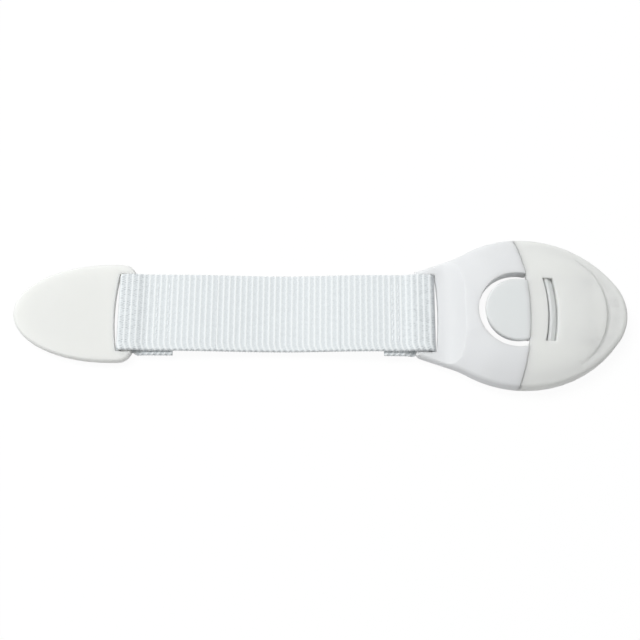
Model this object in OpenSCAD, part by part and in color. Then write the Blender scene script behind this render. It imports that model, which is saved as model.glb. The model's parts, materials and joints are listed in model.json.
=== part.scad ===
// Cabinet safety lock: an anchor plate and a push-button catch, each on a foam pad and joined by webbing.
// Millimetres. Z = 0 is the surface that both pads stick to, and the origin is under the catch pad's middle.
// +X points from the strap towards the nose of the catch, and both sides of Y = 0 are alike.

/* [Webbing] */
// Width of the webbing
strap_w = 25; // [20:0.5:30]
// Thickness of the webbing
strap_t = 1.3; // [1:0.1:1.6]
// Free length between the neck of the latch and the anchor plate
strap_span = 87.5; // [70:0.5:140]
// Length of the folded-back layer past the anchor plate
anchor_fold = 12.3; // [9:0.1:16]
// Length of the folded-back layer past the neck of the latch
latch_fold = 9.8; // [9:0.1:14]
// Diameter of the sewing thread
thread_d = 0.5; // [0.3:0.1:0.8]
// Length of one stitch
stitch_len = 2.4; // [1.6:0.1:4]

/* [Adhesive pads] */
// Thickness of both foam pads
pad_t = 1; // [0.6:0.1:1.6]
// How far each pad stays inside the edge of what it holds
pad_margin = 3; // [2.5:0.1:5]

/* [Anchor plate] */
// Length of the anchor plate
anchor_len = 38; // [34:0.5:50]
// Length of its straight-sided stretch, next to the strap
anchor_shank = 7.5; // [7:0.1:12]
// Width of the plate beyond the webbing, each side
anchor_cheek = 3.55; // [2.5:0.05:6]
// Radius of the two corners next to the strap
anchor_corner_r = 4.5; // [2:0.1:6]
// Width of the bar that the webbing goes round
anchor_bar_w = 3.6; // [2.6:0.1:4]
// Thickness of that bar
anchor_bar_t = 1.2; // [1:0.1:1.8]
// Width of the slot beside the bar
anchor_slot_w = 2.8; // [2.6:0.1:4]
// How far the slot's far edge bows out at its middle
anchor_slot_bow = 1.2; // [0.4:0.1:1.2]

/* [Head outline] */
// Width of the head at its widest point
head_w = 48.5; // [46:0.5:54]
// Radius of each long side, from the widest point back to the neck
side_r = 36.3; // [34:0.1:42]
// Radius of the nose
nose_r = 15.3; // [13:0.1:17]
// Length of the nose past the end of the plug
nose_room = 9.8; // [9:0.1:12]
// Length from the widest point back to the end of the neck
neck_len = 33.4; // [31:0.1:40]
// Width of the neck beyond the webbing, each side
neck_cheek = 1.3; // [1:0.1:2.5]
// Radius where the neck runs into the sides
neck_blend_r = 28; // [15:1:40]
// Radius of the neck's corners
neck_corner_r = 2; // [1:0.1:4]
// How far the neck's straight sides run inside the circles of the long sides
neck_cut = 1.1; // [0.4:0.1:2]
// Width of the bar that the webbing goes round
neck_bar_w = 4.5; // [3:0.1:5]
// Thickness of that bar
neck_bar_t = 1.6; // [1.2:0.1:2]
// Width of the slot beside the bar
neck_slot_w = 2.7; // [2.6:0.1:4]
// How far the slot's far edge bows out at its middle
neck_slot_bow = 0.8; // [0.2:0.1:0.8]

/* [Head shell] */
// Fall from the crown of the head to its shoulder
shoulder_drop = 2.6; // [1.6:0.1:3]
// Radius of the shoulder
shoulder_r = 1.8; // [1:0.1:2.2]
// Thickness of the side walls
wall_t = 1.8; // [1.4:0.1:2.2]
// Thickness of the shell over the tongue
cover_t = 2.1; // [1.8:0.1:3]
// Width of the gap where the latch meets the catch
part_gap = 0.2; // [0.2:0.05:0.5]
// Radius of the line where the latch meets the catch
part_r = 74.6; // [50:0.1:120]
// Reach of that line past the widest point
part_bulge = 1.9; // [1:0.1:3]
// Radius of the edge of the grip lip on the nose
lip_r = 19.6; // [18:0.1:21]
// Width of the grip lip at the nose
lip_w = 6.7; // [5.5:0.1:7]
// Depth of the step down to the grip lip
lip_drop = 1.1; // [0.6:0.1:1.2]
// Radius at the foot of that step
lip_foot_r = 1; // [0.4:0.1:1.2]

/* [Push button] */
// Radius of the round push button
button_r = 10.05; // [9:0.05:10.5]
// Width of the open gap round it
button_gap = 2; // [1.5:0.1:2.4]
// Depth of the wall round that gap
skirt_h = 4.5; // [3.5:0.1:7]
// Distance from the widest point back to the middle of the button
button_back = 2; // [1:0.1:3]
// Radius of the button's upper edge
button_edge_r = 0.6; // [0.3:0.05:1]
// Thickness of the tongue that carries the button
tongue_t = 1.3; // [1:0.1:1.6]
// Length of the locking ridge on the tongue
ridge_len = 20.2; // [16:0.2:20.6]
// Width of the locking ridge
ridge_w = 2.1; // [1.6:0.1:2.4]
// Radius of the ridge's curve
ridge_r = 45; // [35:1:80]
// Depth of the ridge's top below the crown of the head
ridge_sink = 0.7; // [0.5:0.1:1]
// Reach of the ridge past the line where the latch meets the catch
ridge_reach = 6.8; // [6:0.1:7.5]
// Reach of the tongue's pivot past the ridge
pivot_reach = 10.8; // [10.5:0.1:11.5]
// Radius of the pivot pin
pin_r = 0.75; // [0.6:0.05:0.85]
// Radius of the barrel round the pin
barrel_r = 1.35; // [1.3:0.05:1.6]
// Diameter of the spring wire
wire_d = 0.4; // [0.3:0.05:0.45]

/* [Plug and base] */
// Thickness of the catch's base plate
base_t = 1.6; // [1.2:0.1:2.2]
// Thickness of the plug's floor
plug_floor_t = 0.9; // [0.8:0.1:1.4]
// Height of the plug's arms
arm_h = 2.6; // [2.2:0.1:2.8]
// Thickness of the plug's arms
arm_t = 1.6; // [1.2:0.1:1.8]
// Radius of the pegs that hold the shells together
peg_r = 0.9; // [0.7:0.05:1]

/* [Hidden] */
$fn = 64;

// Clearances and small sizes
overrun = 1;
run_gap = 0.05;
seat_gap = 0.1;
slide_gap = 0.2;
swing_gap = 0.25;
foot_round = 0.5;
rim_bevel = 0.35;

// Heights, from the surface up
base_top = pad_t + base_t;
plug_low = base_top + slide_gap;
floor_top = plug_low + plug_floor_t;
pivot_z = floor_top + swing_gap + barrel_r;
tongue_top = pivot_z + barrel_r;
tongue_low = tongue_top - tongue_t;
ceiling_z = tongue_top + swing_gap;
head_top = ceiling_z + cover_t;
shoulder_z = head_top - shoulder_drop;
arm_top = plug_low + arm_h;
arm_ceiling = arm_top + slide_gap;
button_sink = 0.1;
button_top = head_top - button_sink;
skirt_low = head_top - skirt_h;
ridge_top = head_top - ridge_sink;

// Webbing levels at each bar
lap_gap = 0.1;
latch_lift = 0.3;
anchor_lift = 0.75;
bar_sink = 0.25;
neck_bar_z = pad_t + latch_lift + strap_t + seat_gap + neck_bar_t / 2;
neck_top = neck_bar_z + neck_bar_t / 2 + bar_sink;
anchor_bar_z = anchor_lift + strap_t + seat_gap + anchor_bar_t / 2;
anchor_top = anchor_bar_z + anchor_bar_t / 2 + bar_sink;
slot_side = 0.25;
slot_half = strap_w / 2 + slot_side;

// Places along the head
pad_to_dome = 16.5;
dome_x = -pad_to_dome;
head_back_x = dome_x - neck_len;
part_x = dome_x + part_bulge;
part_mid_x = part_x - part_r;
button_x = dome_x - button_back;
opening_r = button_r + button_gap;
ridge_x = part_x + ridge_reach;
ridge_mid_x = ridge_x - ridge_r;
pivot_x = ridge_x + pivot_reach;
plug_end_x = pivot_x + barrel_r + swing_gap + arm_t;
nose_tip_x = plug_end_x + nose_room;
lip_mid_x = nose_tip_x - lip_w - lip_r;

// Head outline, measured from its widest point: a nose arc, the side arcs, and the arc that leads to the neck
nose_x = nose_tip_x - nose_r - dome_x;
front_r = (pow(head_w / 2, 2) + pow(nose_x, 2) - pow(nose_r, 2)) / (head_w - 2 * nose_r);
front_in = front_r - head_w / 2;
nose_turn = atan2(front_in, nose_x);
side_in = side_r - head_w / 2;
neck_half = strap_w / 2 + neck_cheek;
neck_rise = neck_half + side_in;
flare = asin((side_r - neck_cut) / norm([neck_len, neck_rise])) - atan2(neck_rise, neck_len);
flare_along = [cos(flare), sin(flare)];
flare_out = [-sin(flare), cos(flare)];
neck_line = flare_out * [-neck_len, neck_half];
blend_reach = side_r + neck_blend_r - neck_cut;
blend_run = sqrt(pow(side_r + neck_blend_r, 2) - pow(blend_reach, 2));
blend_mid = [0, -side_in] + blend_reach * flare_out - blend_run * flare_along;
blend_turn = atan2(blend_mid.y + side_in, blend_mid.x);
corner_x = neck_corner_r - neck_len;
corner_y = (neck_line - neck_corner_r + sin(flare) * corner_x) / cos(flare);
flank_from = blend_mid - neck_blend_r * flare_out;
flank_to = [corner_x, corner_y] + neck_corner_r * flare_out;
wall_in = wall_t + shoulder_r / 2;

// Release tongue
ridge_half = ridge_len / 2;
tongue_half = ridge_half + slide_gap;
tongue_root_share = 0.88;
barrel_half = 8.2;
window_gap = 0.45;
tongue_taper_x = ridge_x + ridge_w + window_gap;
spring_room = 2.6;
heel_share = 0.7;
ridge_top_share = 0.4;
ramp_drop = 1;
ridge_round = 0.4;
window_bevel = 0.2;
notch_run = 2.8;

// Plug that goes into the catch
skirt_t = 1.4;
arm_in = opening_r + skirt_t + swing_gap;
plug_half = arm_in + arm_t;
mouth_half = plug_half + slide_gap;
plug_taper_x = ridge_x + ridge_w + window_gap;
plug_end_half = barrel_half + swing_gap;
floor_back_x = plug_taper_x;
stop_t = 0.8;
stop_h = 0.25;
ear_t = 1.7;
ear_in = barrel_half + swing_gap;
pin_half = ear_in + ear_t - seat_gap;
foot_share = 0.33;
foot_half = plug_half + (head_w / 2 - wall_in - plug_half) * foot_share;
foot_front_x = part_mid_x + sqrt(pow(part_r - part_gap - wall_t, 2) - pow(foot_half, 2)) - swing_gap;
foot_back_x = button_x - button_r;
rail_t = 1.4;
rail_y = plug_half + slide_gap + rail_t / 2;
boss_r = peg_r + wall_t / 2;
latch_peg_y = (arm_in + foot_half) / 2;
latch_peg_xs = [foot_back_x + boss_r, foot_front_x - boss_r];
peg_turn = 30;
peg_ring_r = nose_r - wall_in - boss_r - swing_gap;
catch_peg_places = [
    for (a = [-peg_turn, 0, peg_turn]) [dome_x + nose_x, 0] + peg_ring_r * [cos(a), sin(a)]
];

// Anchor plate and the strap's hinge lines
anchor_front_x = head_back_x - strap_span;
anchor_tip_x = anchor_front_x - anchor_len;
anchor_half = strap_w / 2 + anchor_cheek;
anchor_mid_x = anchor_front_x - anchor_shank;
anchor_crown = 0.25;
anchor_edge_r = 1.1;
cheek_run = 8.5;
cheek_drop = 0.35;
lap_run = 4;
hinge_lead = 2.4;
strap_sag = 1.8;
latch_loop_x = head_back_x + neck_bar_w - neck_bar_t / 2;
anchor_loop_x = anchor_front_x - anchor_bar_w + anchor_bar_t / 2;
lap_level = (lap_gap + strap_t) / 2;
latch_hinge = [head_back_x - latch_fold - hinge_lead, neck_bar_z + lap_level];
anchor_hinge = [anchor_front_x + anchor_fold + hinge_lead, anchor_bar_z + lap_level];
middle_hinge = [(latch_hinge.x + anchor_hinge.x) / 2, latch_hinge.y - strap_sag];
stitch_row_gap = 2.2;
thread_core_share = 0.4;
fold_steps = 12;

// Scoop in the neck, where the webbing lands
scoop_x = head_back_x + neck_bar_w + neck_slot_w;
scoop_r = 11.8;
scoop_rise = head_top - neck_top + overrun;
scoop_turn = acos(1 - scoop_rise / scoop_r);

// How finely the crowned shells are divided
nose_steps = 6;
front_steps = 9;
back_steps = 11;
leaf_steps = 20;
blend_steps = 4;
flank_steps = 4;
scoop_steps = 12;
corner_steps = 3;
end_steps = 6;
shoulder_steps = 5;
shoulder_sweep = 70;
crown_shares = [0.94, 0.87, 0.79, 0.7, 0.6, 0.48, 0.34, 0.18, 0.04];
dome_power = 4;
neck_power = 2.4;
neck_fade_share = 0.35;

function arc(mid, r, from, to, steps) =
    [for (i = [0 : steps]) let (a = from + (to - from) * i / steps) mid + r * [cos(a), sin(a)]];
function mirrored(points) = [for (i = [len(points) - 1 : -1 : 0]) [points[i].x, -points[i].y]];
function other_side(points) = [for (p = mirrored(points)) if (p.y < 0) p];
function straight(a, b, steps) = [for (i = [1 : steps - 1]) a + (b - a) * i / steps];
function eased(t) = let (u = max(0, min(1, t))) u * u * (3 - 2 * u);
function drawn_in(p, by) = p * (1 - by / norm(p));

// Half of the head's outline, from the nose round to the neck, measured from the widest point
head_half_outline = concat(
    arc([nose_x, 0], nose_r, 0, nose_turn, nose_steps),
    arc([0, -front_in], front_r, nose_turn + (90 - nose_turn) / front_steps, 90, front_steps - 1),
    arc([0, -side_in], side_r, 90 + (blend_turn - 90) / back_steps, blend_turn, back_steps - 1),
    arc(blend_mid, neck_blend_r, blend_turn - 180, flare - 90, blend_steps),
    straight(flank_from, flank_to, flank_steps),
    arc([corner_x, corner_y], neck_corner_r, 90 + flare, 180, corner_steps)
);
neck_corner = [-neck_len, corner_y];
neck_end = straight(neck_corner, [neck_corner.x, -neck_corner.y], end_steps);
head_outline = concat(head_half_outline, neck_end, other_side(head_half_outline));

// Half of the anchor plate's outline, from its corner beside the strap round to its tip, about its middle
anchor_nose = anchor_len - anchor_shank;
anchor_turn = 90 / leaf_steps;
anchor_corner_mid = [anchor_shank - anchor_corner_r, anchor_half - anchor_corner_r];
anchor_half_outline = concat(
    arc(anchor_corner_mid, anchor_corner_r, 0, 90, corner_steps + 2),
    [for (i = [0 : leaf_steps]) let (a = 90 + i * anchor_turn) [anchor_nose * cos(a), anchor_half * sin(a)]]
);
anchor_corner = [anchor_shank, anchor_half - anchor_corner_r];
anchor_end = straight([anchor_corner.x, -anchor_corner.y], anchor_corner, end_steps);
anchor_outline = concat(anchor_end, anchor_half_outline, other_side(anchor_half_outline));

// One solid through rings of points, all alike in number, from the lowest to the highest
module ring_solid(rings) {
    n = len(rings[0]);
    top = len(rings) - 1;
    sides = [
        for (k = [0 : top - 1], i = [0 : n - 1])
            let (j = (i + 1) % n)
                each [[k * n + i, (k + 1) * n + i, k * n + j], [k * n + j, (k + 1) * n + i, (k + 1) * n + j]]
    ];
    low_cap = [[for (i = [0 : n - 1]) i]];
    top_cap = [[for (i = [n - 1 : -1 : 0]) top * n + i]];
    polyhedron([for (ring = rings) each ring], concat(sides, low_cap, top_cap));
}

// A crowned shell form: upright sides on an outline, a round shoulder, and a top that rises to the middle.
// edges and powers hold the shoulder's height and the crown's fullness at each point of the outline.
module crowned_form(outline, low_z, top_z, edges, edge_r, powers) {
    count = [0 : len(outline) - 1];
    inner = edge_r * (1 - cos(shoulder_sweep));
    lift = edge_r * (1 - sin(shoulder_sweep));
    ring_solid(concat(
        [[for (i = count) let (p = drawn_in(outline[i], foot_round)) [p.x, p.y, low_z]]],
        [[for (i = count) [outline[i].x, outline[i].y, low_z + foot_round]]],
        [for (k = [0 : shoulder_steps])
            let (a = shoulder_sweep * k / shoulder_steps)
                [for (i = count)
                    let (p = drawn_in(outline[i], edge_r * (1 - cos(a))))
                        [p.x, p.y, edges[i] - edge_r * (1 - sin(a))]]],
        [for (s = crown_shares)
            [for (i = count)
                let (p = drawn_in(outline[i], inner) * s, low = edges[i] - lift)
                    [p.x, p.y, low + (top_z - low) * (1 - pow(s, powers[i]))]]]
    ));
}

// The whole closed head, before it is parted into latch and catch
module head_form() {
    fades = [for (p = head_outline) eased((p.x + neck_len) / (neck_len * (1 - neck_fade_share)))];
    translate([dome_x, 0, 0])
        crowned_form(
            head_outline, pad_t, head_top,
            [for (f = fades) neck_top + (shoulder_z - neck_top) * f], shoulder_r,
            [for (f = fades) neck_power + (dome_power - neck_power) * f]
        );
}

// The head's outline, drawn in by a distance and raised between two heights
module head_prism(by, low_z, top_z) {
    translate([dome_x, 0, low_z])
        linear_extrude(top_z - low_z)
            polygon([for (p = head_outline) drawn_in(p, by)]);
}

// A round column on the parting line's centre, as tall as the head
module part_column(r) {
    translate([part_mid_x, 0, -overrun])
        cylinder(r = r, h = head_top + 2 * overrun, $fn = 256);
}

module latch_side(by) {
    intersection() {
        children();
        part_column(part_r - part_gap / 2 - by);
    }
}

module catch_side(by) {
    difference() {
        children();
        part_column(part_r + part_gap / 2 + by);
    }
}

module block(from, to) {
    translate(from)
        cube(to - from);
}

// An upright cylinder from one height to another
module post(place, r, low_z, top_z) {
    translate([place.x, place.y, low_z])
        cylinder(r = r, h = top_z - low_z);
}

// A cylinder along Y, the same length on both sides of the middle
module cross_pin(x, z, r, half) {
    translate([x, half, z])
        rotate([90, 0, 0])
            cylinder(r = r, h = 2 * half);
}

// A flat bar along Y with round edges, for webbing to go round
module webbing_bar(x_from, x_to, z, thick) {
    cross_pin(x_from + thick / 2, z, thick / 2, slot_half + overrun);
    cross_pin(x_to - thick / 2, z, thick / 2, slot_half + overrun);
    block(
        [x_from + thick / 2, -slot_half - overrun, z - thick / 2],
        [x_to - thick / 2, slot_half + overrun, z + thick / 2]
    );
}

// The opening that holds a webbing bar and its slot. A large circle bows the slot's far edge outwards.
module slot_opening(bar_x, way, depth, bow, top_z) {
    bow_r = (pow(slot_half, 2) + pow(bow, 2)) / (2 * bow);
    intersection() {
        block([bar_x - depth, -slot_half, -overrun], [bar_x + depth, slot_half, top_z + overrun]);
        translate([bar_x + way * (depth - bow_r), 0, -overrun])
            cylinder(r = bow_r, h = top_z + 2 * overrun, $fn = 256);
    }
}

// Webbing seen from its edge: a fold round a bar, then two layers that close up and lie together.
// way is the side that the strap leaves by, and the upper layer runs on to the strap's hinge line.
module folded_webbing(loop_x, z, bar_t, way, leave, fold, reach) {
    inner = bar_t / 2 + seat_gap;
    outer = inner + strap_t;
    near = lap_gap / 2;
    far = near + strap_t;
    translate([loop_x, strap_w / 2, z])
        rotate([90, 0, 0])
            linear_extrude(strap_w)
                mirror([way > 0 ? 0 : 1, 0])
                    polygon(concat(
                        [[reach, near], [reach, far], [leave + lap_run, far], [leave, outer]],
                        arc([0, 0], outer, 90, 270, fold_steps),
                        [[leave, -outer], [leave + lap_run, -far], [fold, -far], [fold, -near]],
                        [[leave + lap_run, -near], [leave, -inner]],
                        arc([0, 0], inner, 270, 90, fold_steps),
                        [[leave, inner], [leave + lap_run, near]]
                    ));
}

// One stretch of webbing between two hinge lines, round at the first and square at the second
module strap_link(from, to) {
    run = norm(to - from);
    rise = atan2(to.y - from.y, to.x - from.x);
    translate([from.x, 0, from.y])
        rotate([0, -rise, 0]) {
            cross_pin(0, 0, strap_t / 2, strap_w / 2);
            block([0, -strap_w / 2, -strap_t / 2], [run - strap_t / 2 - seat_gap, strap_w / 2, strap_t / 2]);
        }
}

// Two rows of lock stitches across the webbing, through both layers
module stitch_rows(first_x, way, z) {
    count = floor((strap_w - 2 * stitch_len) / stitch_len);
    level = strap_t + lap_gap / 2;
    for (row = [0, 1], i = [0 : count])
        translate([first_x + way * row * stitch_row_gap, (i - count / 2) * stitch_len, z]) {
            post([0, 0], thread_d * thread_core_share, -level, level);
            if (i < count)
                translate([0, 0, i % 2 == 0 ? level : -level])
                    block(
                        [-thread_d / 2, -thread_d / 2, -thread_d / 2],
                        [thread_d / 2, stitch_len + thread_d / 2, thread_d / 2]
                    );
        }
}

module anchor_plate() {
    color("whitesmoke") {
        difference() {
            translate([anchor_mid_x, 0, 0])
                crowned_form(
                    anchor_outline, pad_t, anchor_top + anchor_crown, [for (p = anchor_outline) anchor_top],
                    anchor_edge_r, [for (p = anchor_outline) dome_power]
                );
            slot_opening(anchor_front_x - anchor_bar_w, -1, anchor_slot_w, anchor_slot_bow, anchor_top);
            block(
                [anchor_front_x - anchor_bar_w, -slot_half, -overrun],
                [anchor_front_x + overrun, slot_half, anchor_top + overrun]
            );
            translate([anchor_front_x - cheek_run, 0, anchor_top + anchor_crown])
                rotate([0, atan2(cheek_drop, cheek_run), 0])
                    block([0, -anchor_half - overrun, 0], [anchor_len, anchor_half + overrun, head_top]);
        }
        webbing_bar(anchor_front_x - anchor_bar_w, anchor_front_x, anchor_bar_z, anchor_bar_t);
    }
}

module anchor_pad() {
    color("white")
        intersection() {
            translate([anchor_mid_x, 0, 0])
                linear_extrude(pad_t)
                    polygon([for (p = anchor_outline) drawn_in(p, pad_margin)]);
            block(
                [anchor_tip_x, -anchor_half, -overrun],
                [anchor_front_x - anchor_bar_w - anchor_slot_w - pad_margin, anchor_half, pad_t + overrun]
            );
        }
}

module strap_anchor_end() {
    reach = anchor_hinge.x - anchor_loop_x;
    color("white") {
        folded_webbing(
            anchor_loop_x, anchor_bar_z, anchor_bar_t, 1, anchor_front_x - anchor_loop_x + seat_gap,
            anchor_front_x - anchor_loop_x + anchor_fold, reach
        );
        cross_pin(anchor_hinge.x, anchor_hinge.y, strap_t / 2, strap_w / 2);
    }
}

module anchor_stitching() {
    color("gainsboro")
        stitch_rows(anchor_front_x + anchor_fold - stitch_row_gap, -1, anchor_bar_z);
}

module strap_far_half() {
    color("white")
        strap_link(middle_hinge, anchor_hinge);
}

module strap_near_half() {
    color("white")
        strap_link(latch_hinge, middle_hinge);
}

module strap_latch_end() {
    color("white")
        folded_webbing(
            latch_loop_x, neck_bar_z, neck_bar_t, -1, latch_loop_x - head_back_x + seat_gap,
            latch_loop_x - head_back_x + latch_fold,
            latch_loop_x - latch_hinge.x - strap_t / 2 - seat_gap
        );
}

module latch_stitching() {
    color("gainsboro")
        stitch_rows(head_back_x - latch_fold + stitch_row_gap, 1, neck_bar_z);
}

// A shallow trough across the neck, which the webbing lands in
module neck_scoop() {
    translate([scoop_x, head_w / 2, neck_top])
        rotate([90, 0, 0])
            linear_extrude(head_w)
                polygon(concat(
                    [[-scoop_r, scoop_rise], [-scoop_r, 0]],
                    arc([0, scoop_r], scoop_r, -90, scoop_turn - 90, scoop_steps)
                ));
}

// The round opening for the button, with a bevelled rim
module button_opening() {
    post([button_x, 0], opening_r, -overrun, head_top + overrun);
    translate([button_x, 0, head_top - 2 * rim_bevel])
        cylinder(r1 = opening_r - rim_bevel, r2 = opening_r + rim_bevel, h = 2 * rim_bevel);
}

module latch_cover() {
    color("white") {
        difference() {
            latch_side(0)
                head_form();
            neck_scoop();
            button_opening();
            slot_opening(head_back_x + neck_bar_w, 1, neck_slot_w, neck_slot_bow, head_top);
            block(
                [head_back_x - overrun, -slot_half, -overrun],
                [head_back_x + neck_bar_w, slot_half, head_top]
            );
            difference() {
                latch_side(wall_t)
                    head_prism(wall_in, pad_t - overrun, arm_ceiling);
                post([button_x, 0], opening_r + skirt_t, skirt_low, head_top);
                block(
                    [head_back_x - overrun, -head_w, -overrun],
                    [foot_back_x - swing_gap, head_w, head_top]
                );
            }
            block([foot_front_x, -mouth_half, -overrun], [part_x + overrun, mouth_half, skirt_low]);
            for (side = [-1, 1])
                block(
                    [foot_front_x, side * (arm_in + plug_half) / 2 - arm_t / 2 - slide_gap, -overrun],
                    [part_x + overrun, side * (arm_in + plug_half) / 2 + arm_t / 2 + slide_gap, arm_ceiling]
                );
        }
        webbing_bar(head_back_x, head_back_x + neck_bar_w, neck_bar_z, neck_bar_t);
        for (x = latch_peg_xs, side = [-1, 1])
            post([x, side * latch_peg_y], peg_r, plug_low, arm_ceiling + overrun);
    }
}

// The plug's outline: two feet inside the latch, straight arms, and a tapered end
module plug_outline() {
    half = [
        [foot_back_x, foot_half], [foot_front_x, foot_half], [foot_front_x, plug_half],
        [plug_taper_x, plug_half], [plug_end_x, plug_end_half + ear_t]
    ];
    polygon(concat(half, mirrored(half)));
}

module latch_plug() {
    color("whitesmoke")
        difference() {
            union() {
                difference() {
                    intersection() {
                        head_prism(wall_in + seat_gap, plug_low, arm_top);
                        translate([0, 0, plug_low])
                            linear_extrude(arm_h)
                                plug_outline();
                    }
                    block(
                        [foot_back_x - overrun, -arm_in, plug_low - overrun],
                        [floor_back_x, arm_in, head_top]
                    );
                    translate([0, 0, floor_top])
                        linear_extrude(head_top)
                            polygon([
                                [floor_back_x, -arm_in], [plug_end_x - arm_t, -ear_in],
                                [plug_end_x - arm_t, ear_in], [floor_back_x, arm_in]
                            ]);
                }
                block(
                    [floor_back_x, -tongue_half, plug_low],
                    [floor_back_x + stop_t, tongue_half, floor_top + stop_h]
                );
                for (side = [-1, 1])
                    block(
                        [pivot_x - barrel_r - slide_gap, side * (ear_in + ear_t / 2) - ear_t / 2, plug_low],
                        [pivot_x + barrel_r, side * (ear_in + ear_t / 2) + ear_t / 2, tongue_top]
                    );
            }
            cross_pin(pivot_x, pivot_z, pin_r, ear_in + ear_t + overrun);
            for (x = latch_peg_xs, side = [-1, 1])
                post([x, side * latch_peg_y], peg_r + run_gap, plug_low - overrun, arm_top + overrun);
        }
}

// A profile turned about the centre of the ridge's curve, and cut off at both ends
module ridge_sweep(profile, half) {
    intersection() {
        translate([ridge_mid_x, 0, 0])
            rotate_extrude($fn = 256)
                polygon(profile);
        block([part_x, -half, -overrun], [pivot_x, half, head_top + 2 * overrun]);
    }
}

// The locking ridge: a steep side that holds, a narrow top, and a ramp that leads in
module locking_ridge() {
    back_r = ridge_r - ridge_w / 2;
    front_r = ridge_r + ridge_w / 2;
    ridge_sweep(
        concat(
            [[back_r, tongue_low], [front_r, tongue_low], [front_r, ridge_top - ramp_drop]],
            [[back_r + ridge_w * ridge_top_share, ridge_top]],
            arc([back_r + ridge_round, ridge_top - ridge_round], ridge_round, 90, 180, corner_steps)
        ),
        ridge_half
    );
}

// The window that the ridge stands in, with a bevelled rim
module ridge_window() {
    back_r = ridge_r - ridge_w / 2 - window_gap;
    front_r = ridge_r + ridge_w / 2 + window_gap;
    rim_z = head_top - window_bevel;
    ridge_sweep(
        [
            [back_r, base_top], [front_r, base_top], [front_r, rim_z], [front_r + overrun, rim_z + overrun],
            [back_r - overrun, rim_z + overrun], [back_r, rim_z]
        ],
        ridge_half + slide_gap
    );
}

module button_form() {
    edge_mid = [button_r - button_edge_r, button_top - button_edge_r];
    translate([button_x, 0, 0])
        rotate_extrude($fn = 128)
            polygon(concat(
                [[0, button_top], [0, tongue_low], [button_r, tongue_low]],
                arc(edge_mid, button_edge_r, 0, 90, 2 * corner_steps)
            ));
}

module release_tongue() {
    half = [
        [button_x, tongue_half * tongue_root_share], [part_x, tongue_half * tongue_root_share],
        [part_x, tongue_half], [tongue_taper_x, tongue_half],
        [pivot_x - barrel_r - 2 * slide_gap, barrel_half], [pivot_x, barrel_half]
    ];
    color("white")
        difference() {
            union() {
                latch_side(0)
                    button_form();
                translate([0, 0, tongue_low])
                    linear_extrude(tongue_t)
                        polygon(concat(half, mirrored(half)));
                locking_ridge();
                cross_pin(pivot_x, pivot_z, barrel_r, barrel_half);
                for (side = [-1, 1])
                    translate([0, side * barrel_half / 2, 0])
                        block(
                            [pivot_x, -ear_t / 2, floor_top + run_gap],
                            [pivot_x + barrel_r * heel_share, ear_t / 2, pivot_z]
                        );
            }
            block(
                [pivot_x - notch_run, -spring_room, tongue_low - overrun],
                [pivot_x + barrel_r + overrun, spring_room, tongue_top + overrun]
            );
            cross_pin(pivot_x, pivot_z, spring_room, spring_room);
            cross_pin(pivot_x, pivot_z, pin_r + run_gap, barrel_half + overrun);
        }
}

module tongue_pin() {
    color("silver")
        cross_pin(pivot_x, pivot_z, pin_r, pin_half);
}

// Route of the torsion spring's wire: a leg under the tongue, the turns round the pin, and a leg on the floor
coil_turns = 3.5;
coil_steps = 8;
coil_r = pin_r + seat_gap + wire_d / 2;
coil_half = spring_room - wire_d - swing_gap;
leg_run = pivot_x - floor_back_x - stop_t - swing_gap;
upper_leg_z = tongue_low - wire_d / 2 - run_gap;
lower_leg_z = floor_top + wire_d / 2 + run_gap;
spring_coil = [
    for (i = [0 : coil_turns * coil_steps])
        let (a = 90 - 360 * i / coil_steps, y = -coil_half + 2 * coil_half * i / (coil_turns * coil_steps))
            [pivot_x + coil_r * cos(a), y, pivot_z + coil_r * sin(a)]
];
spring_route = concat(
    [
        [pivot_x - leg_run, -coil_half, upper_leg_z],
        [pivot_x - notch_run, -coil_half, upper_leg_z],
        [pivot_x - coil_r, -coil_half, pivot_z + coil_r * sin(shoulder_sweep)]
    ],
    spring_coil,
    [
        [pivot_x - coil_r, coil_half, pivot_z - coil_r],
        [pivot_x - leg_run, coil_half, lower_leg_z]
    ]
);

// Least gap between one turn and the next, measured on the route's points
coil_gap = min([
    for (i = [0 : len(spring_coil) - 1], j = [0 : len(spring_coil) - 1])
        if (j - i > coil_steps / 2) norm(spring_coil[j] - spring_coil[i])
]) - wire_d;
echo(least_spring_gap_mm = coil_gap);

function unit(v) = v / norm(v);
function route_way(route, i) = unit(route[min(i + 1, len(route) - 1)] - route[max(i - 1, 0)]);

// One unbroken tube along a route of points
module tube(route, d, sides) {
    ring_solid([
        for (i = [0 : len(route) - 1])
            let (
                way = route_way(route, i),
                across = unit(cross(way, [0, 1, 0])),
                up = cross(across, way)
            )
                [
                    for (k = [0 : sides - 1])
                        let (a = 360 * k / sides)
                            route[i] + d / 2 * (cos(a) * across + sin(a) * up)
                ]
    ]);
}

module tongue_spring() {
    color("silver")
        tube(spring_route, wire_d, 6);
}

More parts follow.
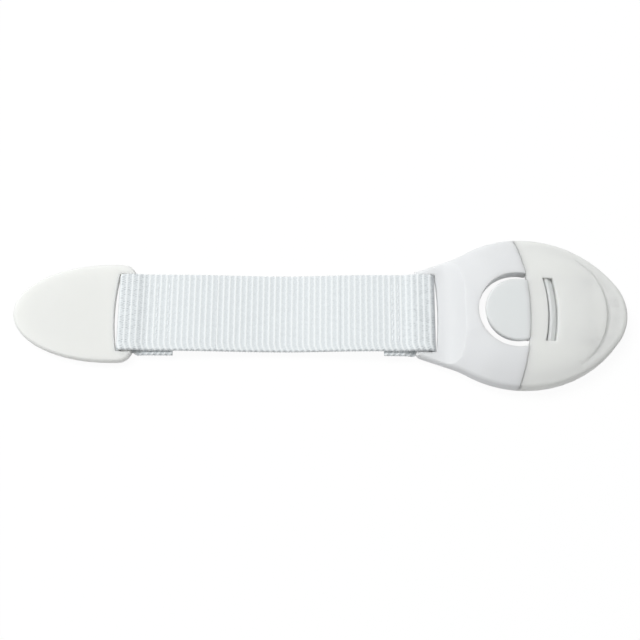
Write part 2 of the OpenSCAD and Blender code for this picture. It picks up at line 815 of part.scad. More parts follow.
// The step round the nose that leaves a lip to grip: a leaning wall with a round foot, swept round the nose,
// whose floor falls a little outwards and rises at both ends of the sweep until the step has faded out
module grip_step() {
    lean = 35;
    fall = 2;
    fade_from = 55;
    fade_to = 85;
    steps = 34;
    depth = lip_drop + shoulder_drop / 2;
    reach = head_w / 2;
    foot = arc([lip_r + lip_foot_r, lip_foot_r], lip_foot_r, 270, 180 + lean, 2 * corner_steps);
    wall_foot = foot[len(foot) - 1];
    translate([lip_mid_x, 0, head_top])
        ring_solid([
            for (i = [0 : steps])
                let (
                    turn = fade_to * (2 * i / steps - 1),
                    low = depth * (eased((abs(turn) - fade_from) / (fade_to - fade_from)) - 1),
                    wall_top = [wall_foot.x - (overrun - low - wall_foot.y) * tan(lean), overrun],
                    rim = [[lip_r + reach, overrun], [lip_r + reach, low - reach * tan(fall)]]
                )
                    [
                        for (p = concat([wall_top], rim, [for (f = foot) f + [0, low]]))
                            [p.x * cos(turn), p.x * sin(turn), p.y]
                    ]
        ]);
}

module catch_cover() {
    tongue_room = tongue_half + slide_gap;
    color("white") {
        difference() {
            catch_side(0)
                head_form();
            catch_side(wall_t)
                head_prism(wall_in, pad_t - overrun, arm_ceiling);
            block([dome_x, -mouth_half, -overrun], [part_x + 2 * wall_t, mouth_half, arm_ceiling]);
            block(
                [dome_x, -tongue_room, base_top],
                [pivot_x + barrel_r + swing_gap, tongue_room, ceiling_z]
            );
            ridge_window();
            grip_step();
        }
        intersection() {
            head_prism(wall_t / 2, pad_t, arm_ceiling + seat_gap);
            for (place = catch_peg_places) {
                post(place, boss_r, base_top, arm_ceiling + seat_gap);
                post(place, peg_r, pad_t, base_top + overrun);
            }
        }
    }
}

module catch_base() {
    color("whitesmoke")
        difference() {
            intersection() {
                catch_side(wall_t + seat_gap)
                    head_prism(wall_in + seat_gap, pad_t, arm_top);
                union() {
                    block([dome_x - head_w, -head_w, pad_t], [nose_tip_x, head_w, base_top]);
                    for (side = [-1, 1])
                        block(
                            [part_x + wall_t + swing_gap, side * rail_y - rail_t / 2, pad_t],
                            [plug_taper_x, side * rail_y + rail_t / 2, arm_top]
                        );
                }
            }
            for (place = catch_peg_places)
                post(place, peg_r + run_gap, pad_t - overrun, base_top + overrun);
        }
}

module catch_pad() {
    color("white")
        catch_side(pad_margin)
            head_prism(pad_margin, 0, pad_t);
}

anchor_plate();
anchor_pad();
strap_anchor_end();
anchor_stitching();
strap_far_half();
strap_near_half();
strap_latch_end();
latch_stitching();
latch_cover();
latch_plug();
release_tongue();
tongue_pin();
tongue_spring();
catch_cover();
catch_base();
catch_pad();
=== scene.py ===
import json
import math

import bmesh
import bpy
import numpy as np
from mathutils import Matrix, Quaternion, Vector

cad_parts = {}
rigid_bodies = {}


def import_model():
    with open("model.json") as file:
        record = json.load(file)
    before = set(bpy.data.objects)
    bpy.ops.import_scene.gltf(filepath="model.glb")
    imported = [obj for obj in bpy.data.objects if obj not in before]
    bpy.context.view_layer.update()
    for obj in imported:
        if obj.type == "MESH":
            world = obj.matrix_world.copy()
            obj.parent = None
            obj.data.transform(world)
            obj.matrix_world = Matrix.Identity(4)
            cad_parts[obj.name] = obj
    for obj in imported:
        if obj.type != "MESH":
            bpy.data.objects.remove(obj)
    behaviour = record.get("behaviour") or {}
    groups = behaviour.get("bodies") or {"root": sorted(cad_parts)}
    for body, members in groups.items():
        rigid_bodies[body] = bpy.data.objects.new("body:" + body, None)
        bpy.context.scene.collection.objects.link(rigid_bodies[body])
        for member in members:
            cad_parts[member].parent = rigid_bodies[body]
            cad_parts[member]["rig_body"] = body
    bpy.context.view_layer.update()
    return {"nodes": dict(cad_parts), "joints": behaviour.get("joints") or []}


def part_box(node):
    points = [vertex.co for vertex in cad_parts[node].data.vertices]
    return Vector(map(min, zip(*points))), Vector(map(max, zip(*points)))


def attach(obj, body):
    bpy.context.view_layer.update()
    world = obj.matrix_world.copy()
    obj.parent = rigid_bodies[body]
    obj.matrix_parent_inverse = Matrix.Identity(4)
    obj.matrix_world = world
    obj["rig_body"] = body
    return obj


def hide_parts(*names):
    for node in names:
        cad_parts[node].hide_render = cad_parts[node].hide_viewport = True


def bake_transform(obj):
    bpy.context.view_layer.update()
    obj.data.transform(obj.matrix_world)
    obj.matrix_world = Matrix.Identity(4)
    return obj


# Cabinet safety lock: a leaf-shaped anchor plate and a push-button catch, joined by ribbed webbing.
# Metres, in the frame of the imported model: +X to the nose of the catch, +Z up, the floor at zero.

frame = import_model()
cad_nodes = frame["nodes"]
hinge_at = {joint["name"]: Vector(joint["pos_m"]) for joint in frame["joints"] if "pos_m" in joint}
scene = bpy.context.scene


# Places that the webbing follows
anchor_loop_low, anchor_loop_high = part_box("strap_anchor_end")
latch_loop_low, latch_loop_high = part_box("strap_latch_end")
anchor_front_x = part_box("anchor_plate")[1].x
neck_end_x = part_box("latch_cover")[0].x
anchor_hinge, middle_hinge, latch_hinge = (
    hinge_at[name] for name in ("anchor_bend", "middle_bend", "latch_bend")
)

# Anchor plate and head
anchor_corner_radius = 0.0045
parting_x = -0.0146
parting_radius = 0.0746
parting_gap = 0.0002
parting_closed = 0.00013
button_x = -0.0185
button_radius = 0.01005
button_wall_lean = 0.0006
button_wall_within = 0.0001
shell_crease = math.radians(24)
lip_crease = math.radians(42)

# Strap
strap_width = anchor_loop_high.y - anchor_loop_low.y
strap_thickness = 0.0013
anchor_fold_length = 0.0123
latch_fold_length = 0.0098
lap_run = 0.004
lap_lift = 0.0007
anchor_loop_slack = 0.0003
latch_loop_slack = 0.0004
fold_skew = 0.0011
skew_from = 0.0026
skew_run = 0.0024
line_step = 0.00005

# Weave
rib_pitch = 0.00179
rib_height = 0.0002
rib_width_share = 0.17
rib_wander = 0.00005
wander_pitch = 0.0021
rib_lean = 0.0009
lean_run = 0.0028
yarn_pitch = 0.00078
yarn_height = 0.00008
selvedge_round = 0.0006
selvedge_width = 0.001
selvedge_scallop = 0.00036
selvedge_tuck_share = 0.15
# How open the weave is, which deepens the painted shadow in its pits, most near the bars
open_weave_run = 0.007
open_weave_share = 0.4
open_at_bars_share = 0.8
least_rib_share = 0.85
least_yarn_share = 0.92
least_pit_shadow_share = 0.3
# Lightness painted into the webbing's colour: painted shade in its valleys and pits, painted highlight on
# the rib crests
painted_valley_shade = 0.45
painted_crest_highlight = 0.95
steps_per_rib = 10
step_across = 0.00015

# Bends of the strap, and the seams between its three pieces
bend_reach = 0.010
seam_lead = 0.001
far_seam_x = anchor_hinge.x + bend_reach + seam_lead
near_seam_x = latch_hinge.x - bend_reach - seam_lead


# Materials

class Shading:
    """The nodes of a material or a world, with short ways to add and join them."""

    def __init__(self, owner):
        owner.use_nodes = True
        self.owner = owner
        self.tree = owner.node_tree
        self.shader = self.tree.nodes.get("Principled BSDF")

    def add(self, kind, **values):
        """A new node, with values for its sockets: an underscore stands for a space."""
        node = self.tree.nodes.new(kind)
        for socket, value in values.items():
            node.inputs[socket.replace("_", " ")].default_value = value
        return node

    def join(self, out, socket):
        """A link from a node's output to a socket."""
        self.tree.links.new(out, socket)

    def place(self, stretch=(1, 1, 1), attribute=None):
        """Coordinates on the object, or kept in an attribute of its mesh, stretched along each axis."""
        if attribute:
            source = self.add("ShaderNodeAttribute")
            source.attribute_name = attribute
            out = source.outputs["Vector"]
        else:
            out = self.add("ShaderNodeTexCoord").outputs["Object"]
        mapping = self.add("ShaderNodeMapping", Scale=stretch)
        self.join(out, mapping.inputs["Vector"])
        return mapping.outputs["Vector"]

    def noise(self, place, scale, detail=2):
        """A factor that drifts from place to place."""
        node = self.add("ShaderNodeTexNoise", Scale=scale, Detail=detail)
        self.join(place, node.inputs["Vector"])
        return node.outputs["Fac"]

    def colours(self, factor, stops):
        """Base colour from a factor, by colours at places from 0 to 1."""
        ramp = self.add("ShaderNodeValToRGB")
        elements = ramp.color_ramp.elements
        while len(elements) < len(stops):
            elements.new(1)
        for element, (position, colour) in zip(elements, stops):
            element.position = position
            element.color = (*colour, 1)
        self.join(factor, ramp.inputs["Fac"])
        self.join(ramp.outputs["Color"], self.shader.inputs["Base Color"])

    def roughness(self, factor, low, high):
        """Uneven gloss from a factor."""
        spread = self.add("ShaderNodeMapRange", To_Min=low, To_Max=high)
        self.join(factor, spread.inputs["Value"])
        self.join(spread.outputs["Result"], self.shader.inputs["Roughness"])

    def background_rays(self):
        """1 for rays that show the background: the camera's own, mirrored ones and those through glass."""
        rays = self.add("ShaderNodeLightPath")
        shown = rays.outputs["Is Camera Ray"]
        for kind in ("Is Glossy Ray", "Is Transmission Ray"):
            either = self.add("ShaderNodeMath")
            either.operation = "MAXIMUM"
            self.join(shown, either.inputs[0])
            self.join(rays.outputs[kind], either.inputs[1])
            shown = either.outputs[0]
        return shown

    def relief(self, height, strength, depth, edge_round=0):
        """Fine relief on the surface, with edges that look rounded by a radius."""
        bump = self.add("ShaderNodeBump", Strength=strength, Distance=depth)
        self.join(height, bump.inputs["Height"])
        if edge_round:
            rounding = self.add("ShaderNodeBevel", Radius=edge_round)
            rounding.samples = 6
            self.join(rounding.outputs["Normal"], bump.inputs["Normal"])
        self.join(bump.outputs["Normal"], self.shader.inputs["Normal"])


def shaded(colour, by):
    """A colour made darker by a share."""
    return tuple(part * by for part in colour)


def moulded_plastic(name, colour):
    """Satin moulded plastic: an even fine grain, faint flow marks and uneven gloss."""
    look = Shading(bpy.data.materials.new(name))
    place = look.place()
    flow_marks = look.noise(place, scale=60, detail=3)
    look.colours(flow_marks, [(0.3, colour), (0.7, shaded(colour, by=0.985))])
    look.roughness(look.noise(place, scale=900), low=0.46, high=0.58)
    look.relief(look.noise(place, scale=4200), strength=0.05, depth=0.0001, edge_round=0.0001)
    look.shader.inputs["Specular IOR Level"].default_value = 0.4
    look.shader.inputs["Subsurface Weight"].default_value = 1
    look.shader.inputs["Subsurface Radius"].default_value = (1, 1, 1)
    look.shader.inputs["Subsurface Scale"].default_value = 0.0025
    return look.owner


def woven_yarn(name, painted_pit_shadow, valley, crest):
    """White webbing: painted highlight on the ribs, painted shade in the bluish valleys and painted shadow
    in small pits, and the fibres of the yarn.
    """
    look = Shading(bpy.data.materials.new(name))
    painted_light = look.add("ShaderNodeAttribute")
    painted_light.attribute_name = "painted_light"
    # Painted light as a ramp of colours: pits darkest, valleys shaded, crests lit
    look.colours(painted_light.outputs["Fac"], [(0, painted_pit_shadow), (painted_valley_shade, valley), (painted_crest_highlight, crest)])
    fibres = look.noise(look.place(stretch=(2600, 9000, 1), attribute="weave"), scale=1, detail=4)
    look.roughness(fibres, low=0.7, high=0.85)
    look.relief(fibres, strength=0.45, depth=0.00006)
    look.shader.inputs["Sheen Weight"].default_value = 0.12
    return look.owner


def twisted_thread(name, colour):
    """Sewing thread: two strands, seen as slanting lines, with painted shade in the grooves between them."""
    look = Shading(bpy.data.materials.new(name))
    strands = look.add("ShaderNodeTexWave", Scale=1, Distortion=1.5)
    look.join(look.place(stretch=(900, 900, 0)), strands.inputs["Vector"])
    # Painted shade: the grooves between the strands are darker, where the bump is low
    look.colours(strands.outputs["Fac"], [(0.2, shaded(colour, by=0.92)), (0.7, colour)])
    look.relief(strands.outputs["Fac"], strength=0.4, depth=0.00003)
    look.shader.inputs["Roughness"].default_value = 0.6
    return look.owner


def foam(name, colour, pores, roughness):
    """Cut foam or a tape's face: close small pores."""
    look = Shading(bpy.data.materials.new(name))
    cells = look.noise(look.place(), scale=3000, detail=3)
    look.colours(cells, [(0.35, shaded(colour, by=0.9)), (0.6, colour)])
    look.relief(cells, strength=pores, depth=0.0001)
    look.shader.inputs["Roughness"].default_value = roughness
    return look.owner


def drawn_steel(name, colour):
    """Bright drawn wire with fine lines along it."""
    look = Shading(bpy.data.materials.new(name))
    lines = look.noise(look.place(stretch=(9000, 250, 9000)), scale=1, detail=3)
    look.colours(lines, [(0.3, shaded(colour, by=0.85)), (0.7, colour)])
    look.roughness(lines, low=0.22, high=0.4)
    look.relief(lines, strength=0.2, depth=0.00002)
    look.shader.inputs["Metallic"].default_value = 1
    return look.owner


anchor_plastic = moulded_plastic("anchor_moulding", (0.85, 0.85, 0.825))
latch_plastic = moulded_plastic("latch_moulding", (0.815, 0.819, 0.829))
button_plastic = moulded_plastic("button_moulding", (0.80, 0.815, 0.815))
catch_plastic = moulded_plastic("catch_moulding", (0.865, 0.868, 0.842))
# Colours for painted light on the webbing: painted shadow in the pits, painted shade in the valleys, painted
# highlight on the crests
webbing_yarn = woven_yarn(
    "webbing_yarn", painted_pit_shadow=(0.53, 0.555, 0.57), valley=(0.825, 0.86, 0.88), crest=(0.965, 0.985, 0.99),
)
thread = twisted_thread("sewing_thread", (0.92, 0.94, 0.95))
foam_core = foam("foam_core", (0.84, 0.84, 0.82), pores=0.6, roughness=0.9)
foam_face = foam("foam_adhesive", (0.86, 0.86, 0.83), pores=0.15, roughness=0.35)
steel = drawn_steel("drawn_steel", (0.62, 0.63, 0.65))


# Pieces

def new_piece(name, bm, slot, *materials):
    """A shown object made of a finished bmesh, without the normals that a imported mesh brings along."""
    mesh = bpy.data.meshes.new(name)
    bm.to_mesh(mesh)
    bm.free()
    kept_normals = mesh.attributes.get("custom_normal")
    if kept_normals:
        mesh.attributes.remove(kept_normals)
    mesh.materials.clear()
    for material in materials:
        mesh.materials.append(material)
    piece = bpy.data.objects.new(name, mesh)
    scene.collection.objects.link(piece)
    return piece


def stands_for(piece, node):
    """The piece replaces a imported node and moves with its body."""
    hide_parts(node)
    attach(piece, cad_nodes[node]["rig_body"])


def packed_solid(node):
    """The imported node's mesh with its loose triangles joined."""
    joined_within = 0.000005
    bm = bmesh.new()
    bm.from_mesh(cad_nodes[node].data)
    bmesh.ops.remove_doubles(bm, verts=bm.verts, dist=joined_within)
    return bm


def verts_of(geometry):
    """The vertices among what an operator made."""
    return [part for part in geometry if isinstance(part, bmesh.types.BMVert)]


def edges_of(geometry):
    """The edges among what an operator made."""
    return [part for part in geometry if isinstance(part, bmesh.types.BMEdge)]


def shade_smooth(bm, crease):
    """Smooth shading, but for edges that turn more than an angle."""
    for face in bm.faces:
        face.smooth = True
    for edge in bm.edges:
        edge.smooth = edge.calc_face_angle(0) < crease


# Moulded shells, one smooth piece each

def moulded_shell(name, node, slot, material, reshape=None, crease=shell_crease):
    """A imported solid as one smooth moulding, with its shape finished by a function where it needs that."""
    bm = packed_solid(node)
    if reshape:
        reshape(bm)
    shade_smooth(bm, crease)
    shell = new_piece(name, bm, slot, material)
    even = shell.modifiers.new("even_normals", "WEIGHTED_NORMAL")
    even.keep_sharp = True
    stands_for(shell, node)
    return shell


def trim_bar_ends(bm):
    """Trim the ends of the anchor's bar to the plate's rounded corners."""
    plate_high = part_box("anchor_plate")[1]
    corner_middle = plate_high.xy - Vector((anchor_corner_radius, anchor_corner_radius))
    for vert in bm.verts:
        past = Vector((vert.co.x, abs(vert.co.y))) - corner_middle
        if min(past) > 0 and past.length > anchor_corner_radius:
            kept = corner_middle + past.normalized() * anchor_corner_radius
            vert.co.xy = (kept.x, math.copysign(kept.y, vert.co.y))


def close_parting(bm):
    """Bring the catch's parting face nearer to the latch, for a fine line between them."""
    middle_x = parting_x - parting_radius
    for vert in bm.verts:
        from_middle = Vector((vert.co.x - middle_x, vert.co.y))
        if abs(from_middle.length - parting_radius) < parting_gap:
            closer = from_middle.normalized() * parting_closed
            vert.co -= Vector((closer.x, closer.y, 0))


def on_button_wall(vert):
    """Whether a vertex lies on the button's round wall."""
    reach = math.hypot(vert.co.x - button_x, vert.co.y)
    return abs(reach - button_radius) < button_wall_within


def draw_in_button_wall(bm):
    """Draw the button's wall in towards its foot, so that its rounded edge stands out in the ring."""
    wall = [vert for vert in bm.verts if on_button_wall(vert)]
    foot_z = min(vert.co.z for vert in wall)
    for vert in wall:
        if vert.co.z < foot_z + button_wall_within:
            outward = Vector((vert.co.x - button_x, vert.co.y, 0)).normalized()
            vert.co -= outward * button_wall_lean


anchor_leaf = moulded_shell("anchor_leaf", "anchor_plate", "anchor_plastic", anchor_plastic, trim_bar_ends)
latch_shell = moulded_shell("latch_shell", "latch_cover", "latch_plastic", latch_plastic)
moulded_shell("catch_shell", "catch_cover", "catch_plastic", catch_plastic, close_parting, lip_crease)
moulded_shell("push_button", "release_tongue", "button_plastic", button_plastic, draw_in_button_wall)
moulded_shell("plug_arms", "latch_plug", "latch_plastic", latch_plastic)
moulded_shell("base_plate", "catch_base", "catch_plastic", catch_plastic)
cad_nodes["tongue_pin"].material_slots[0].material = steel


# Webbing

def eased(share):
    """A share from 0 to 1 that starts and ends slowly."""
    share = np.clip(share, 0, 1)
    return share * share * (3 - 2 * share)


def level_run(knots):
    """Points along a stretch of the strap whose height eases from each knot to the next."""
    points = []
    for (x0, z0), (x1, z1) in zip(knots, knots[1:]):
        share = np.linspace(0, 1, max(2, int(abs(x1 - x0) / line_step)), endpoint=False)
        points.append(np.column_stack((x0 + (x1 - x0) * share, z0 + (z1 - z0) * eased(share))))
    return np.concatenate(points)


def half_turn(middle_x, middle_z, radius, from_angle, to_angle):
    """Points round one side of a webbing bar."""
    angle = np.linspace(from_angle, to_angle, int(math.pi * radius / line_step), endpoint=False)
    return np.column_stack((middle_x + radius * np.cos(angle), middle_z + radius * np.sin(angle)))


anchor_bar_z = (anchor_loop_low.z + anchor_loop_high.z) / 2
anchor_turn = (anchor_loop_high.z - anchor_loop_low.z - strap_thickness) / 2
anchor_turn_x = anchor_loop_low.x + anchor_turn + strap_thickness / 2 - anchor_loop_slack
latch_bar_z = (latch_loop_low.z + latch_loop_high.z) / 2
latch_turn = (latch_loop_high.z - latch_loop_low.z - strap_thickness) / 2
latch_turn_x = latch_loop_high.x - latch_turn - strap_thickness / 2 + latch_loop_slack

anchor_return = level_run([
    (anchor_front_x + anchor_fold_length, anchor_bar_z - lap_lift),
    (anchor_front_x + lap_run, anchor_bar_z - lap_lift),
    (anchor_front_x, anchor_bar_z - anchor_turn),
    (anchor_turn_x, anchor_bar_z - anchor_turn),
])
strap_top = level_run([
    (anchor_turn_x, anchor_bar_z + anchor_turn),
    (anchor_front_x, anchor_bar_z + anchor_turn),
    (anchor_front_x + lap_run, anchor_bar_z + lap_lift),
    (anchor_hinge.x, anchor_hinge.z),
    (middle_hinge.x, middle_hinge.z),
    (latch_hinge.x, latch_hinge.z),
    (neck_end_x - lap_run, latch_bar_z + lap_lift),
    (neck_end_x, latch_bar_z + latch_turn),
    (latch_turn_x, latch_bar_z + latch_turn),
])
latch_return = level_run([
    (latch_turn_x, latch_bar_z - latch_turn),
    (neck_end_x, latch_bar_z - latch_turn),
    (neck_end_x - lap_run, latch_bar_z - lap_lift),
    (neck_end_x - latch_fold_length, latch_bar_z - lap_lift),
])
anchor_round = half_turn(anchor_turn_x, anchor_bar_z, anchor_turn, -math.pi / 2, -3 * math.pi / 2)
latch_round = half_turn(latch_turn_x, latch_bar_z, latch_turn, math.pi / 2, -math.pi / 2)

# The line half-way through the webbing, from one folded-back end to the other, in X and Z
strap_line = np.concatenate((anchor_return, anchor_round, strap_top, latch_round, latch_return))
line_steps = np.linalg.norm(np.diff(strap_line, axis=0), axis=1)
length_at = np.concatenate(([0], np.cumsum(line_steps)))
line_way = np.gradient(strap_line, axis=0)
line_way /= np.linalg.norm(line_way, axis=1)[:, None]
top_from = len(anchor_return) + len(anchor_round)
top_to = top_from + len(strap_top)
strap_end = float(length_at[-1])


def length_to(x):
    """Length along the strap at which its upper layer passes a place."""
    return float(np.interp(x, strap_line[top_from:top_to, 0], length_at[top_from:top_to]))


def scatter(number):
    """A steady share from 0 to 1 that differs from one number to the next."""
    step = 12.9898
    spread = 43758.5453
    return np.modf(np.abs(np.sin(number * step) * spread))[0]


def at_least(least, share):
    """A share from 0 to 1, drawn together so that it starts at a least one."""
    return least + (1 - least) * share


def weave(along, across, inner):
    """Height of the yarn, reach of the selvedge and painted light (highlight on the rib crests, shadow in
    the pits), at points of the webbing.
    """
    numbers_per_rib = 37
    near_edge = np.clip((-across - strap_width / 2 + lean_run) / lean_run, 0, 1)
    own_phase = scatter(np.floor(along / rib_pitch))
    wander = rib_wander * np.sin(2 * np.pi * (across / wander_pitch + own_phase))
    turns = (along - rib_lean * near_edge ** 2 + wander) / rib_pitch + inner / 2
    rib = np.floor(turns)
    from_crest = turns - rib - 1 / 2
    crest = np.exp(-(from_crest / rib_width_share) ** 2) * at_least(least_rib_share, scatter(rib))
    yarn_turns = across / yarn_pitch + np.mod(rib, 2) / 2
    over = (1 + np.cos(2 * np.pi * yarn_turns)) / 2
    crossing = numbers_per_rib * rib + np.floor(yarn_turns)
    to_bar = np.minimum(np.abs(along - length_at[top_from]), np.abs(along - length_at[top_to]))
    opened = open_weave_share + open_at_bars_share * np.exp(-(to_bar / open_weave_run) ** 2)
    # Painted shadow in the pits between the yarns, deeper where the weave opens near the bars
    painted_pit_shadow = opened * (1 - over) * (1 - crest) * at_least(least_pit_shadow_share, scatter(crossing))
    height = rib_height * crest * at_least(least_yarn_share, over) + yarn_height * over * (1 - crest)
    selvedge = selvedge_scallop * (np.cos(2 * np.pi * (turns - 1 / 2)) / 2 - selvedge_tuck_share)
    # Painted light: highlight on the rib crests, shade in the valleys and shadow in the pits
    painted_light = painted_valley_shade + (painted_crest_highlight - painted_valley_shade) * crest - painted_valley_shade * painted_pit_shadow
    return height, selvedge, painted_light


def webbing_band(name, from_length, to_length):
    """A closed band of ribbed webbing along one stretch of the strap."""
    bm = bmesh.new()
    bmesh.ops.create_grid(
        bm,
        x_segments=round((to_length - from_length) / rib_pitch * steps_per_rib),
        y_segments=round(strap_width / step_across),
        size=0.5,
    )
    raised = bmesh.ops.extrude_face_region(bm, geom=bm.faces[:], use_keep_orig=True)["geom"]
    bmesh.ops.translate(bm, verts=verts_of(raised), vec=(0, 0, 1))
    bmesh.ops.recalc_face_normals(bm, faces=bm.faces[:])
    shade_smooth(bm, crease=math.pi)
    band = new_piece(name, bm, "webbing", webbing_yarn)

    mesh = band.data
    unit = np.zeros(3 * len(mesh.vertices))
    mesh.vertices.foreach_get("co", unit)
    unit = unit.reshape(-1, 3)
    along = from_length + (unit[:, 0] + 0.5) * (to_length - from_length)
    across = unit[:, 1] * strap_width
    inner = unit[:, 2] < 0.5
    height, selvedge, painted_light = weave(along, across, inner)
    from_middle = np.abs(across)
    past_edge = np.clip((from_middle - strap_width / 2 + selvedge_round) / selvedge_round, 0, 1)
    on_selvedge = np.clip((from_middle - strap_width / 2 + selvedge_width) / selvedge_width, 0, 1)
    face_lift = (strap_thickness / 2 - rib_height + height) * np.sqrt(1 - past_edge ** 2)
    lift = np.where(inner, -1, 1) * face_lift
    middle_x, middle_z = (np.interp(along, length_at, strap_line[:, axis]) for axis in (0, 1))
    way_x, way_z = (np.interp(along, length_at, line_way[:, axis]) for axis in (0, 1))
    anchor_fold = length_at[len(anchor_return)]
    latch_fold = length_at[top_to + len(latch_round)]
    past_bar = np.maximum(anchor_fold - along, along - latch_fold)
    skew = fold_skew * eased((past_bar - skew_from) / skew_run)
    placed = np.column_stack((
        middle_x - way_z * lift,
        across + np.sign(across) * selvedge * on_selvedge - skew,
        middle_z + way_x * lift,
    ))
    mesh.vertices.foreach_set("co", placed.ravel())
    # The painted light is kept on the points for the webbing's colour
    mesh.attributes.new("painted_light", "FLOAT", "POINT").data.foreach_set("value", painted_light)
    flat_place = np.column_stack((along, across, np.zeros_like(along)))
    mesh.attributes.new("weave", "FLOAT_VECTOR", "POINT").data.foreach_set("vector", flat_place.ravel())
    mesh.update()
    return band


anchor_webbing = webbing_band("webbing_anchor_end", 0, length_to(far_seam_x))
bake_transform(anchor_webbing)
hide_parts("strap_anchor_end")

middle_webbing = webbing_band("webbing_middle", length_to(far_seam_x), length_to(near_seam_x))
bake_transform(middle_webbing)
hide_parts("strap_far_half", "strap_near_half")

latch_webbing = webbing_band("webbing_latch_end", length_to(near_seam_x), strap_end)
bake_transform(latch_webbing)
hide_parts("strap_latch_end")


# Sewing thread through both layers of each fold

def stitch_rows(name, node):
    """Two rows of lock stitches, each laid in a valley of the webbing, on its upper and its lower face."""
    low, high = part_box(node)
    thread_radius = 0.00017
    stitch_pitch = 0.0024
    stitch_share = 0.8
    sunk = 0.00042
    count = int((high.y - low.y) / stitch_pitch)
    size = Matrix.Diagonal((thread_radius, stitch_pitch * stitch_share / 2, thread_radius, 1))
    bm = bmesh.new()
    for row_x in (low.x, high.x):
        turns = length_to(row_x) / rib_pitch
        x = row_x + (round(turns) - turns) * rib_pitch
        for z in (low.z + sunk, high.z - sunk):
            for i in range(count):
                y = (low.y + high.y) / 2 + (i - (count - 1) / 2) * stitch_pitch
                place = Matrix.Translation((x, y, z))
                bmesh.ops.create_uvsphere(bm, u_segments=12, v_segments=8, radius=1, matrix=place @ size)
    shade_smooth(bm, crease=math.pi)
    stands_for(new_piece(name, bm, "thread", thread), node)


stitch_rows("anchor_thread", "anchor_stitching")
stitch_rows("latch_thread", "latch_stitching")


# Foam pads

def foam_pad(name, node):
    """A die-cut foam pad with softly bulging sides and an adhesive face above and below."""
    flat_within = math.radians(0.5)
    bulge = 0.00012
    rim_round = 0.00008
    level_from = 0.9
    bm = packed_solid(node)
    bmesh.ops.dissolve_limit(bm, angle_limit=flat_within, verts=bm.verts, edges=bm.edges)
    upright = [edge for edge in bm.edges if abs(edge.verts[0].co.z - edge.verts[1].co.z) > bulge]
    rims = [edge for edge in bm.edges if edge not in upright]
    middle = sum((vert.co for vert in bm.verts), Vector()) / len(bm.verts)
    cut = bmesh.ops.subdivide_edges(bm, edges=upright, cuts=3)["geom_inner"]
    for vert in verts_of(cut):
        outward = (vert.co - middle).xy.normalized()
        vert.co += bulge * Vector((outward.x, outward.y, 0))
    bmesh.ops.bevel(bm, geom=rims, offset=rim_round, segments=2, profile=0.5, affect="EDGES", material=-1)
    for face in bm.faces:
        face.material_index = int(abs(face.normal.z) > level_from)
    shade_smooth(bm, crease=math.radians(30))
    pad = new_piece(name, bm, "foam_tape", foam_core, foam_face)
    stands_for(pad, node)


foam_pad("anchor_foam", "anchor_pad")
foam_pad("catch_foam", "catch_pad")


# Torsion spring under the tongue

def torsion_spring(name, node):
    """Wire that lies under the tongue, turns round the pin and ends on the plug's floor.

    The turns wind up between the two legs.
    """
    low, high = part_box(node)
    pivot = hinge_at["button_press"]
    wire = 0.0004
    coil_radius = 0.00105
    notch_run = 0.0028
    climb = math.radians(34)
    climbed_share = 0.94
    turns = 3.5
    steps = 112
    leg_x = low.x
    coil_y = high.y - wire / 2
    leg_end = Matrix.Translation((leg_x, -coil_y, pivot.z - wire / 2))
    across_wire = Matrix.Rotation(math.pi / 2, 4, "Y")
    bm = bmesh.new()
    bmesh.ops.create_circle(bm, cap_ends=True, segments=12, radius=wire / 2, matrix=leg_end @ across_wire)

    def wire_to(edges, x, z, turn=0):
        """Draw the wire on to a place, and turn its end about Y."""
        made = bmesh.ops.extrude_edge_only(bm, edges=edges)["geom"]
        ring = verts_of(made)
        middle = sum((vert.co for vert in ring), Vector()) / len(ring)
        place = Vector((x, middle.y, z))
        bmesh.ops.translate(bm, verts=ring, vec=place - middle)
        bmesh.ops.rotate(bm, verts=ring, cent=place, matrix=Matrix.Rotation(turn, 3, "Y"))
        return [edge for edge in edges_of(made) if edge.is_boundary]

    edges = wire_to(bm.edges[:], pivot.x - notch_run, pivot.z - wire / 2, -climb / 2)
    edges = wire_to(edges, pivot.x - coil_radius, pivot.z + climbed_share * coil_radius)
    edges = wire_to(edges, pivot.x, pivot.z + coil_radius, climb / 2)
    coil = bmesh.ops.spin(
        bm, geom=edges, cent=pivot, axis=(0, 1, 0), angle=turns * 2 * math.pi, steps=steps,
        dvec=(0, 2 * coil_y / steps, 0),
    )["geom_last"]
    edges = wire_to(edges_of(coil), pivot.x - coil_radius, pivot.z - coil_radius)
    edges = wire_to(edges, leg_x, low.z + wire / 2)
    bmesh.ops.contextual_create(bm, geom=edges)
    bmesh.ops.recalc_face_normals(bm, faces=bm.faces[:])
    shade_smooth(bm, crease=math.radians(50))
    spring = new_piece(name, bm, "steel", steel)
    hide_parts(node)
    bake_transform(spring)


torsion_spring("spring_wire", "tongue_spring")


# Floor, light and camera

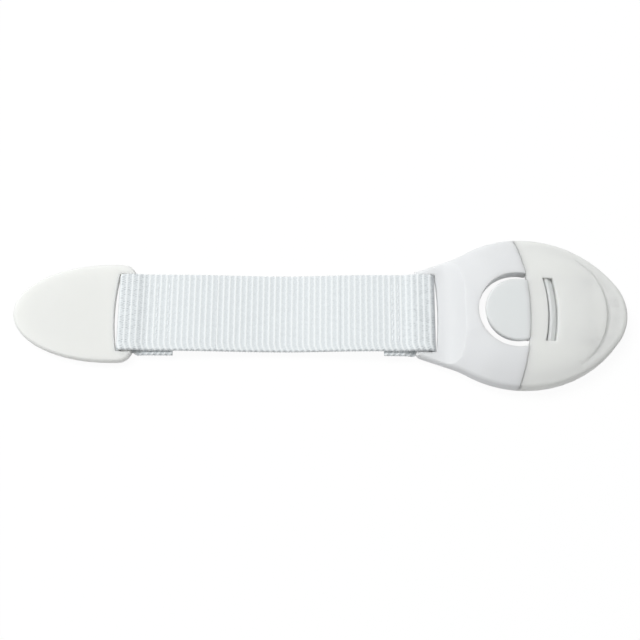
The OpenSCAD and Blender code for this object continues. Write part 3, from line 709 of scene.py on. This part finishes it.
def pale_floor():
    """A white floor that shows bright to the camera and still takes the object's shadow."""
    shadow_share = 0.1
    paper_grey = 0.7
    paper_light = 0.2
    glow_light = 1.02
    reach = 3
    bm = bmesh.new()
    bmesh.ops.create_grid(bm, x_segments=1, y_segments=1, size=reach)
    mesh = bpy.data.meshes.new("floor")
    bm.to_mesh(mesh)
    bm.free()
    floor = bpy.data.objects.new("floor", mesh)
    scene.collection.objects.link(floor)
    look = Shading(bpy.data.materials.new("floor_paper"))
    look.tree.nodes.remove(look.shader)
    paper = look.add("ShaderNodeBsdfDiffuse", Color=(paper_grey, paper_grey, paper_grey, 1))
    lit_paper = look.add("ShaderNodeEmission", Strength=paper_light)
    table = look.add("ShaderNodeAddShader")
    look.join(paper.outputs[0], table.inputs[0])
    look.join(lit_paper.outputs[0], table.inputs[1])
    glow = look.add("ShaderNodeEmission", Strength=glow_light)
    share = look.add("ShaderNodeMapRange", To_Max=1 - shadow_share)
    look.join(look.background_rays(), share.inputs["Value"])
    mix = look.add("ShaderNodeMixShader")
    look.join(share.outputs["Result"], mix.inputs["Fac"])
    look.join(table.outputs[0], mix.inputs[1])
    look.join(glow.outputs[0], mix.inputs[2])
    look.join(mix.outputs[0], look.tree.nodes["Material Output"].inputs["Surface"])
    mesh.materials.append(look.owner)


def looking(name, data, place, target):
    """An object at a place that looks at a target."""
    made = bpy.data.objects.new(name, data)
    scene.collection.objects.link(made)
    made.location = place
    made.rotation_mode = "QUATERNION"
    made.rotation_quaternion = (target - place).to_track_quat("-Z", "Y")
    return made


def studio_light():
    """Even light from all round, and one wide soft lamp above, to the left and behind."""
    fill_light = 0.3
    middle = Vector((-0.08, 0, 0))
    to_lamp = Vector((-0.78, 0.6, 1.66))
    scene.world = bpy.data.worlds.new("studio")
    look = Shading(scene.world)
    sky = look.tree.nodes["Background"]
    sky.inputs["Color"].default_value = (0.99, 1, 1, 1)
    strength = look.add("ShaderNodeMapRange", To_Min=fill_light, To_Max=1)
    look.join(look.background_rays(), strength.inputs["Value"])
    look.join(strength.outputs["Result"], sky.inputs["Strength"])
    lamp = bpy.data.lights.new("wide_lamp", "AREA")
    lamp.size = 1.1
    lamp.energy = 29.7
    lamp.color = (0.985, 1, 1)
    looking("wide_lamp", lamp, middle + to_lamp, middle)


def photo_camera():
    """The photograph's camera: nearly overhead, from the near side."""
    target = Vector((-0.0795, -0.00205, 0.0029))
    elevation = math.radians(71)
    roll = math.radians(0.35)
    distance = 0.368
    camera = bpy.data.cameras.new("photo_camera")
    camera.sensor_width = 36
    camera.lens = 66.4
    camera.clip_start = 0.01
    back = Vector((0, -math.cos(elevation), math.sin(elevation)))
    scene.camera = looking("photo_camera", camera, target + distance * back, target)
    scene.camera.rotation_quaternion @= Quaternion((0, 0, 1), roll)


scene.view_settings.view_transform = "Standard"
pale_floor()
studio_light()
photo_camera()
